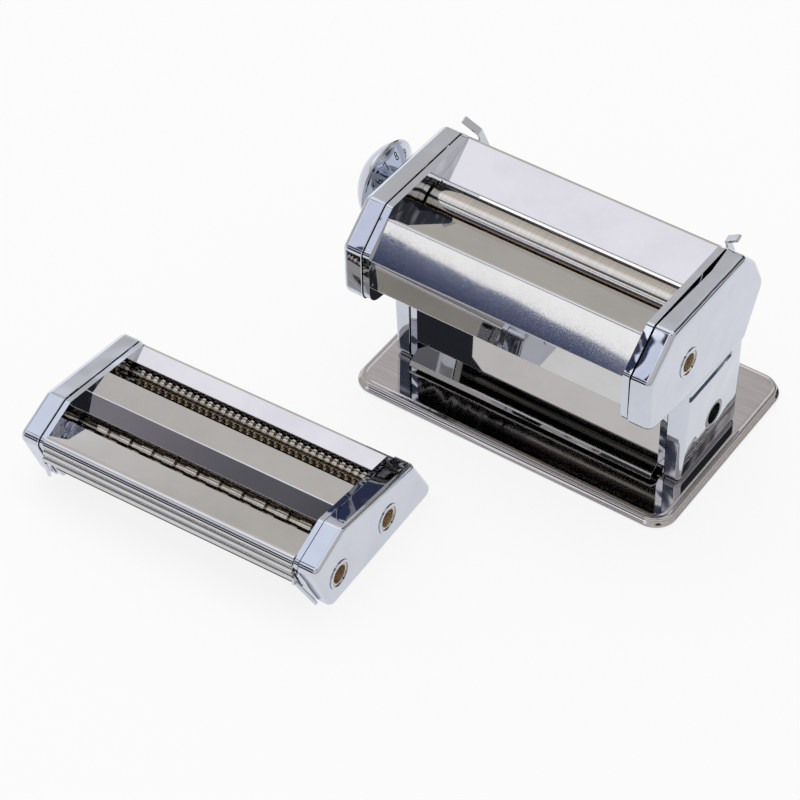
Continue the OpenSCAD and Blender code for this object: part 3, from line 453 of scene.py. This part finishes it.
def cap(bm, points, radii, x0, x1, holes=(), lean=None, soft=SOFT, wall=WALL, sprung=()):
    """A pressed cap: an inner wall, a rounded rim, an outer wall with a soft edge, a face with holes."""
    profile = [(x1 - wall, wall + INNER_STEP), (x0 + RIM_X, wall), (x0, wall - RIM_ACROSS),
               (x0, RIM_ACROSS), (x0 + RIM_X, 0)]
    profile += edge(x0, x1, soft)
    loops = [[Vector((x, *p)) for p in rounded(points, radii, d)] for x, d in profile]
    rings = []
    for at, radius in holes:
        steps = [(x1 - wall, radius)] + [(x1 - depth, radius + wider) for depth, wider in HOLE_EDGE]
        rings.append([[Vector((x, *p)) for p in circle(at, r)] for x, r in steps])
    for p in [p for loop in loops[1:5] for p in loop if p.z > SPRUNG_ABOVE]:
        p.x += between(p.y, sprung)
    if lean:
        from_z, slope = lean
        for loop in loops + [loop for ring in rings for loop in ring]:
            for p in loop:
                p.x = x0 + (p.x - x0) * (1 - max(from_z - p.z, 0) * slope / (x1 - x0))
    rows = add_rings(bm, loops)
    bores = [add_rings(bm, ring) for ring in rings]
    close(bm, rows[0], *[bore[0] for bore in bores])
    close(bm, rows[-1], *[bore[-1] for bore in bores])


def mirrored(place, side):
    """A place with its X axis turned over where side is -1, for the left hand side."""
    return place @ Matrix.Scale(side, 4, (1, 0, 0))


def carved(body, tool):
    """The first mesh with the second taken out of it."""
    things = []
    for name, bm in (("body", body), ("tool", tool)):
        bmesh.ops.recalc_face_normals(bm, faces=bm.faces)
        mesh = bpy.data.meshes.new(name)
        bm.to_mesh(mesh)
        bm.free()
        things.append(bpy.data.objects.new(name, mesh))
        bpy.context.scene.collection.objects.link(things[-1])
    knife = things[0].modifiers.new("knife", "BOOLEAN")
    knife.object, knife.operation, knife.solver = things[1], "DIFFERENCE", "EXACT"
    graph = bpy.context.evaluated_depsgraph_get()
    shaped = bpy.data.meshes.new_from_object(things[0].evaluated_get(graph))
    for thing in things:
        bpy.data.objects.remove(thing)
    result = bmesh.new()
    result.from_mesh(shaped)
    return result


for side, name, head_holes, leg_holes, sprung in (
        (1, "right_end_cover", [(FRONT_AXIS, CRANK_HOLE)], [(CLAMP_AT, CLAMP_HOLE)], SPRUNG_RIM),
        (-1, "left_end_cover", [(REAR_AXIS, COLLAR_HOLE)], [], ())):
    bm = bmesh.new()
    cap(bm, LEG, LEG_RADII, COVER_IN, COVER_OUT - LEG_SET_BACK, leg_holes, lean=LEG_LEAN, wall=LEG_WALL)
    groove = bmesh.new()
    ends = add_rings(groove, [[(COVER_OUT + out, y, z + rise) for out, z in GROOVE]
                              for y, rise in GROOVE_RUN])
    groove.faces.new(ends[0])
    groove.faces.new(ends[-1])
    bm = carved(bm, groove)
    cap(bm, HEAD, HEAD_RADII, COVER_IN, COVER_OUT, head_holes, sprung=sprung)
    new_piece(name + "_shell", bm, mirrored(MACHINE, side), pressed_chrome, "stand", "chromed_steel",
              name, sharp=SHELL_SHARP)

# ---------------------------------------------------------------- Sheets of the machine
# Thin steel sheets bent on a press brake and chromed, held between the two frames.
# The front sheet has a folded hem along both edges; the apron and the tray end in a small flange.

# The sheets' thickness, the frames' inner faces along X, and how far the rear sheet stays clear of them
SHEET, FRAME_IN, REAR_PLAY = 0.8, 76, 0.05

# Rolled sheet under thin nickel and chrome: it gives the eye a flat, neutral mirror with a breath of satin
bright_sheet = plated("bright_rolled_sheet", "#CBCACA", 0.015, grain=0.04)
# The hem's bare cut edge before the roller, tinted warm brass: partly its own nickel, partly a painted warm
# reflection
warm_hem_edge = plated("hem_edge_warm_reflection", "#D2B489", 0.12, grain=0.1)
# The warm tinted part begins at this Y
HEM_FROM = -31.6

# A hem folds back over the sheet at this height and this far, with a tight bend
HEM_HIGH, HEM_WIDE, HEM_BEND = 1.1, 3.4, 0.55
SLOPE_EDGE, SLOPE_FOLD, HIP = (-30.5, 118.81), (-57.6, 127.9), (-74.6, 111.8)


def bent(points, radii, x0, x1):
    """A bent sheet between x0 and x1: its middle line in Y and Z, with a radius for each inner point."""
    points = [Vector(p) for p in points]
    path = [points[0]]
    for a, b, c, radius in zip(points, points[1:], points[2:], radii):
        path += corner(a, b, c, radius)
    path.append(points[-1])
    last = len(path) - 1
    runs = [(path[min(i + 1, last)] - path[max(i - 1, 0)]).normalized() for i in range(last + 1)]
    sides = [Vector((-run.y, run.x)) * SHEET / 2 for run in runs]
    turns = [math.pi * k / 6 for k in range(1, 6)]
    outline = [p + side for p, side in zip(path, sides)]
    outline += [path[-1] + sides[-1] * math.cos(a) + runs[-1] * math.sin(a) * SHEET / 2 for a in turns]
    outline += [p - side for p, side in reversed(list(zip(path, sides)))]
    outline += [path[0] - sides[0] * math.cos(a) - runs[0] * math.sin(a) * SHEET / 2 for a in turns]
    bm = bmesh.new()
    for end in add_rings(bm, [[(x, *p) for p in outline] for x in (x0, x1)]):
        bm.faces.new(end)
    return bm


def hem(a, b, side):
    """The two points that fold a sheet back at b, on one side of its run from a to b."""
    run = (Vector(b) - Vector(a)).normalized()
    away = Vector(b) + Vector((-run.y, run.x)) * side * HEM_HIGH
    return [away, away - run * HEM_WIDE]


front_cover = hem(SLOPE_FOLD, SLOPE_EDGE, -1)[::-1] + [SLOPE_EDGE, SLOPE_FOLD, HIP] + hem(SLOPE_FOLD, HIP, 1)
for name, points, radii, reach_x in (
        ("front_cover", front_cover, [HEM_BEND, HEM_BEND, 2, HEM_BEND, HEM_BEND], FRAME_IN),
        ("front_apron", [(-72.8, 111), (-71.7, 89), (-68.4, 89)], [1], FRAME_IN),
        ("rear_cover", [(-9.24, 120.49), (17.3, 129.6), (25.4, 118), (34, 99.5), (31.5, 93)], [2] * 3,
         FRAME_IN - REAR_PLAY),
        ("bottom_tray", [(20, 11.5), (20, 16.5), (-29.6, 16.5), (-39.4, 10.8), (-40.4, 8.8)], [1] * 3,
         FRAME_IN)):
    piece = new_piece(name + "_sheet", bent(points, radii, -reach_x, reach_x), MACHINE, bright_sheet,
                      "stand", "chromed_steel", name)
    # The hem's edge takes the warm tint, partly a painted warm reflection on its bare edge
    if name == "front_cover":
        piece.data.materials.append(warm_hem_edge)
        for face in piece.data.polygons:
            if (MACHINE.inverted() @ face.center).y > HEM_FROM * MM:
                face.material_index = 1

# Bent strips beside the feed opening, whose plate is rubbed: it gives the eye a duller chrome
rubbed_chrome = plated("rubbed_chrome_plate", "#C4C8D0", 0.14, grain=0.08)
dress(["left_guide_rail", "right_guide_rail"], rubbed_chrome, 0.15)

# ---------------------------------------------------------------- Base plate
# One deep drawn sheet of steel with a rounded double rim, polished and then brushed along its length.
# It stands on rubber feet, and four screws through it hold the frames.

# Ground lines run this far before they fade, and the gloss drifts over patches of this width
LINE_LENGTH_MM, GLOSS_MM = 45, 25


def ground(name, hexa, rough, line_mm, along, depth=0.004, tone=0.05, haze=0.04):
    """Brushed or ground steel: fine lines along one axis, or rings round the X axis where along is YZ."""
    made, tree, bsdf = new_material(name)
    bsdf.inputs["Metallic"].default_value = 1.0
    place = add(tree, "ShaderNodeTexCoord")
    scale = [per_mm(LINE_LENGTH_MM if axis in along else line_mm) for axis in "XYZ"]
    lines_at = add(tree, "ShaderNodeMapping", {"Vector": (place, "Object"), "Scale": scale})
    lines = add(tree, "ShaderNodeTexNoise",
                {"Vector": (lines_at, 0), "Scale": 1.0, "Detail": 4.0, "Roughness": 0.6})
    patch = add(tree, "ShaderNodeTexNoise",
                {"Vector": (place, "Object"), "Scale": per_mm(GLOSS_MM), "Detail": 5.0, "Roughness": 0.6})
    tint = add(tree, "ShaderNodeValToRGB", {0: (lines, 0)})
    set_ramp(tint, [(0.3, toned(hexa, 1 - tone)), (0.7, toned(hexa, 1 + tone))])
    gloss = add(tree, "ShaderNodeMapRange", {0: (patch, 0), 1: 0.35, 2: 0.7, 3: rough, 4: rough + haze})
    bump = add(tree, "ShaderNodeBump",
               {"Height": (lines, 0), "Strength": 1.0, "Distance": depth * line_mm * MM})
    wire(tree, bsdf, {"Base Color": tint, "Roughness": gloss, "Normal": bump})
    return made


# Length, width, height and corner radius of the plate, and the radius of the two round beads of its rim
BASE_L, BASE_W, BASE_H, BASE_R, BEAD = 199, 130, 6.5, 13, 1.25
# All as inset and height: the beads' middles, the rim's inner wall, and the channel pressed inside the rim
UPPER_BEAD, LOWER_BEAD = (2.925, BASE_H - BEAD), (BEAD, 1 + BEAD)
UNDER_RIM = [(2.7, BASE_H - 1.2), (2.5, 1.3)]
CHANNEL = [(3.9, 6.16), (4.5, 6.14), (5.1, 6.36), (5.7, BASE_H)]


def bead(at, start, end, steps=8):
    """Part of a rim's round bead, as pairs of inset and height; in degrees from straight outwards."""
    turns = [math.radians(start + (end - start) * k / steps) for k in range(steps + 1)]
    return [(at[0] - BEAD * math.cos(a), at[1] + BEAD * math.sin(a)) for a in turns]


def round_plate(inset, z, steps=10):
    """A level loop of the base plate's outline."""
    loop = []
    for quarter, (sx, sy) in enumerate(((1, 1), (-1, 1), (-1, -1), (1, -1))):
        for k in range(steps + 1):
            a = math.pi / 2 * (quarter + k / steps)
            radius = BASE_R - inset
            loop.append((sx * (BASE_L / 2 - BASE_R) + radius * math.cos(a),
                         sy * (BASE_W / 2 - BASE_R) + radius * math.sin(a), z))
    return loop


bm = bmesh.new()
section = UNDER_RIM + bead(LOWER_BEAD, -90, 75) + bead(UPPER_BEAD, -40, 112) + CHANNEL
rows = add_rings(bm, [round_plate(inset, z) for inset, z in section])
bm.faces.new(rows[0])
bm.faces.new(rows[-1])
# Polished and lightly brushed: it gives the eye a mirror that is drawn out into fine lines
steel = ground("brushed_base_steel", "#B7B3B3", 0.04, 0.8, "X", depth=0.0008, haze=0.02)
new_piece("base_plate_pressing", bm, MACHINE, steel, "stand", "chromed_steel", "base_plate")

# ---------------------------------------------------------------- Thickness knob
# A chromed knob turned from bar: a dome outside, and behind it a cone with the dial's numbers struck into it.
# It is pulled out of its collar against a spring, turned to a number and let go.

# What closes on its axis, the knob's dome and the cups in the crank bores, ends in a flat of this radius
POLE = 0.4
KNOB_R, DOME_IN, DOME_H = 23.5, 106, 13
# The cone between its inner and its outer end, as pairs of X and radius, then the neck and the rim round it
BACK = [(98.4, 12.4), (104.6, 21.3)]
NECK = [(98.3, 9.5), (98.3, 12.1)]
RIM = [(105.0, 22.1), (105.4, 22.9), (106, 23.45)]
COLLAR = [(92.2, 7.9), (92.5, 12.3), (92.9, 12.6), (97.2, 12.2), (97.8, 11.8), (98, 11.2), (98, 6.2)]

# Nine settings 30 degrees apart: number 1 comes to the top when the knob is turned by 200 degrees
SETTINGS, SETTING_STEP, FIRST_SETTING, TOP = 9, 30, 200, 90
# The numbers' height and half thickness, their radius on the cone, and how deep their middle lies in it
NUMBER_SIZE, NUMBER_THICK, NUMBERS_AT, NUMBER_SUNK = 5.6, 0.1, 17.2, 0.02


def turned(bm, profile, at, steps=72):
    """A body of revolution about a line along X: pairs of X and radius."""
    rows = add_rings(bm, [[(x, *p) for p in circle(at, r, steps)] for x, r in profile])
    bm.faces.new(rows[0])
    bm.faces.new(rows[-1])


def number(bm, text, angle):
    """One dial number on the knob's back cone: angle in radians, from the rear upwards."""
    curve = bpy.data.curves.new("dial_number", "FONT")
    curve.body, curve.size, curve.extrude = text, NUMBER_SIZE, NUMBER_THICK
    curve.align_x, curve.align_y = "CENTER", "CENTER"
    letter = bpy.data.objects.new("dial_number", curve)
    bpy.context.scene.collection.objects.link(letter)
    graph = bpy.context.evaluated_depsgraph_get()
    mesh = bpy.data.meshes.new_from_object(letter.evaluated_get(graph))
    bpy.data.objects.remove(letter)
    old = set(bm.verts)
    bm.from_mesh(mesh)
    bmesh.ops.remove_doubles(bm, verts=[v for v in bm.verts if v not in old], dist=0.001)
    out = Vector((math.cos(angle), math.sin(angle)))
    across = Vector((out.y, -out.x))
    (x0, r0), (x1, r1) = BACK
    slope = (x1 - x0) / (r1 - r0)
    for v in bm.verts:
        if v not in old:
            at = out * (NUMBERS_AT + v.co.y) + across * v.co.x
            x = x0 + (at.length - r0) * slope + NUMBER_SUNK - v.co.z
            v.co = (x, REAR_AXIS[0] + at.x, REAR_AXIS[1] + at.y)


def moulded(name, hexa, rough, grain_mm, haze, depth):
    """Enamel or rubber: one colour under a fine grain that breaks up its shine and its surface."""
    made, tree, bsdf = new_material(name)
    bsdf.inputs["Base Color"].default_value = linear(hexa)
    place = add(tree, "ShaderNodeTexCoord")
    grain = add(tree, "ShaderNodeTexNoise",
                {"Vector": (place, "Object"), "Scale": per_mm(grain_mm), "Detail": 3.0})
    gloss = add(tree, "ShaderNodeMapRange", {0: (grain, 0), 1: 0.3, 2: 0.7, 3: rough, 4: rough + haze})
    bump = add(tree, "ShaderNodeBump",
               {"Height": (grain, 0), "Strength": 1.0, "Distance": depth * grain_mm * MM})
    wire(tree, bsdf, {"Roughness": gloss, "Normal": bump})
    return made


dome_sphere = (KNOB_R ** 2 + DOME_H ** 2) / (2 * DOME_H)
slopes = [math.asin(KNOB_R / dome_sphere) * (1 - k / 12) for k in range(1, 12)]
dome = [(DOME_IN + DOME_H - dome_sphere * (1 - math.cos(a)), dome_sphere * math.sin(a)) for a in slopes]
bm = bmesh.new()
turned(bm, NECK + BACK + RIM + dome + [(DOME_IN + DOME_H, POLE)], REAR_AXIS)
new_piece("knob_turning", bm, mirrored(MACHINE, -1), chrome, "knob", "chromed_knob", "knob_dial", "knob_dome")

# Stoved enamel in the struck numbers: it gives the eye a soft black against the mirror around it
ink = moulded("black_dial_enamel", "#16171A", 0.3, 0.4, 0.12, 0.02)
bm = bmesh.new()
for count in range(1, SETTINGS + 1):
    number(bm, str(count), math.radians(TOP + FIRST_SETTING - SETTING_STEP * (count - 1)))
new_piece("knob_numbers", bm, mirrored(MACHINE, -1), ink, "knob", "chromed_knob")

bm = bmesh.new()
turned(bm, COLLAR, REAR_AXIS)
new_piece("knob_collar_turning", bm, mirrored(MACHINE, -1), chrome, "stand", "chromed_steel", "knob_collar")

# ---------------------------------------------------------------- Rollers and cutters
# Steel bars between the frames: the smooth ones ground and nickel plated, the cutting ones turned in discs.
# The tools leave fine rings round them.

# Satin nickel: it gives the eye a soft, warm band of light along the roller
satin = ground("ground_nickel_steel", "#C4C0B9", 0.07, 0.45, "YZ", depth=0.0016, tone=0.05)
dress(["front_roller", "rear_roller"], satin)
# Turned and hardened steel in a warm grey: it gives the eye brighter discs
cutter_steel = ground("turned_cutter_steel", "#B9B1A6", 0.08, 0.5, "YZ", depth=0.003, tone=0.06)
dress(["wide_cutter_front", "wide_cutter_rear", "narrow_cutter_front", "narrow_cutter_rear"],
      cutter_steel, 0.18)

# ---------------------------------------------------------------- Scrapers, rods and the clamp's tube
# Spring steel blades that clean the rollers, combs between the cutters' discs, and rods that hold the frames
# apart, all blued. The tube takes the table clamp; coarse turned rings inside it catch the light.

# Blued steel: it gives the eye a dark grey with faint lines
dark_steel = ground("blued_spring_steel", "#55524E", 0.2, 0.5, "X", depth=0.004)
dress(["front_scraper", "rear_scraper", "cutter_combs", "tie_rods", "cutter_tie_rods"], dark_steel)
# Plain turned steel: it gives the eye grey rings that fade into the dark of the tube
ringed_steel = ground("ringed_clamp_tube", "#85878D", 0.22, 1.4, "YZ", depth=0.06, tone=0.16)
dress(["clamp_socket"], ringed_steel)

# ---------------------------------------------------------------- Hidden steel
# Screws, the regulator's shaft and spring, and hardened gears inside the covers, all zinc plated.

# Zinc plate: it gives the eye a dull mid grey
zinc = plated("zinc_plated_steel", "#8F9194", 0.3)
dress(["base_screws", "regulator_shaft", "knob_spring", "front_gear", "rear_gear",
       "wide_gear_front", "wide_gear_rear", "narrow_gear_front", "narrow_gear_rear"], zinc)

# ---------------------------------------------------------------- Bearings and crank sockets
# Turned brass bushes and bearing blocks carry the rollers. The cutters' bushes and the collars round the crank
# holes are chromed. Each driving shaft is bored and lined with a drawn bronze cup, which takes the crank's end.

# Turned brass: it gives the eye a plain yellow with fine rings
brass = ground("turned_brass", "#C9A765", 0.2, 0.4, "YZ", depth=0.006)
dress(["front_roller_bushes", "bearing_blocks"], brass)
dress(["crank_bush", "cutter_bushes"], chrome)

# Drawn bronze: it gives the eye a dull beige glow inside the hole
bronze = ground("drawn_bronze", "#E8D6BC", 0.42, 0.4, "YZ", depth=0.006, tone=0.09)
# The lining's profile, as X from the cover's face and radius: its outside, its rim and its inside
CUP = [(-14.9, POLE), (-14.9, 5.18), (-0.5, 5.18), (-0.2, 5.1), (-0.3, 5.05), (-14.2, 5.05), (-14.7, 4.6),
       (-14.7, POLE)]
CUP_STEPS = 40
WIDE_AXIS, NARROW_AXIS = (-39.5, 18.9), (5.5, 18.9)
CUTTER_COVER_IN, CUTTER_COVER_OUT = 81.1, 92.9
for name, place, at, face, body in (
        ("crank_socket_cup", MACHINE, FRONT_AXIS, COVER_OUT, "front_roller_unit"),
        ("wide_cutter_socket_cup", CUTTER, WIDE_AXIS, CUTTER_COVER_OUT, "wide_front_unit"),
        ("narrow_cutter_socket_cup", CUTTER, NARROW_AXIS, CUTTER_COVER_OUT, "narrow_front_unit")):
    bm = bmesh.new()
    turned(bm, [(face + out, radius) for out, radius in CUP], at, CUP_STEPS)
    new_piece(name, bm, place, bronze, body, "brass")

# ---------------------------------------------------------------- Rubber feet
# Four moulded black rubber discs under the base plate.

# Moulded rubber: it gives the eye a dull black with a fine pebbled skin
rubber = moulded("black_rubber", "#1B1B1C", 0.68, 0.7, 0.16, 0.05)
dress(["rubber_feet"], rubber)

# ---------------------------------------------------------------- Cutter head's end covers
# The same kind of pressed caps, over the frames of the separate cutter head.

CUTTER_PANEL = [(-33.8, 46.8), (31.2, 36), (50.2, 0), (-47.2, 0), (-60.4, 36.4)]
CUTTER_RADII = [5] * 5
CUTTER_SOFT = 3.2
for side, name, holes in (
        (1, "cutter_right_cover", [(WIDE_AXIS, CRANK_HOLE), (NARROW_AXIS, CRANK_HOLE)]),
        (-1, "cutter_left_cover", [])):
    bm = bmesh.new()
    cap(bm, CUTTER_PANEL, CUTTER_RADII, CUTTER_COVER_IN, CUTTER_COVER_OUT, holes, soft=CUTTER_SOFT)
    new_piece(name + "_shell", bm, mirrored(CUTTER, side), pressed_chrome, "cutter_head", "chromed_steel",
              name, sharp=SHELL_SHARP)
dress(["cutter_left_frame", "cutter_right_frame"], rolled_chrome, FRAME_EDGE)

# ---------------------------------------------------------------- Sheets of the cutter head
# Three bent sheets between its frames, which leave two long mouths open over the pairs of cutters, and the
# two blades that hook the head onto the machine. The front sheet has ribs pressed along its upright part.

CUTTER_SHEET_END = 77.5
CUTTER_FRONT = [(-36.6, 33.9), (-59.2, 39.2), (-59.2, 34.4), (-57.0, 33.2), (-59.2, 31.9), (-59.2, 29.1),
                (-57.0, 27.8), (-59.2, 26.5), (-59.2, 23.7), (-57.0, 22.4)]
for name, points, radii in (
        ("cutter_rear_sheet", [(19.4, 31.8), (30.4, 34.6), (43.6, 9.6)], [1.6]),
        ("cutter_middle_sheet", [(-1.8, 40.8), (-17.6, 39.8), (-26.8, 34.8)], [1.6]),
        ("cutter_front_sheet", CUTTER_FRONT, [4.2, 0.6, 0.45, 2.1, 2.1, 0.45, 2.1, 2.1])):
    new_piece(name + "_bent", bent(points, radii, -CUTTER_SHEET_END, CUTTER_SHEET_END), CUTTER,
              bright_sheet, "cutter_head", "chromed_steel", name)
dress(["cutter_hooks"], chrome)
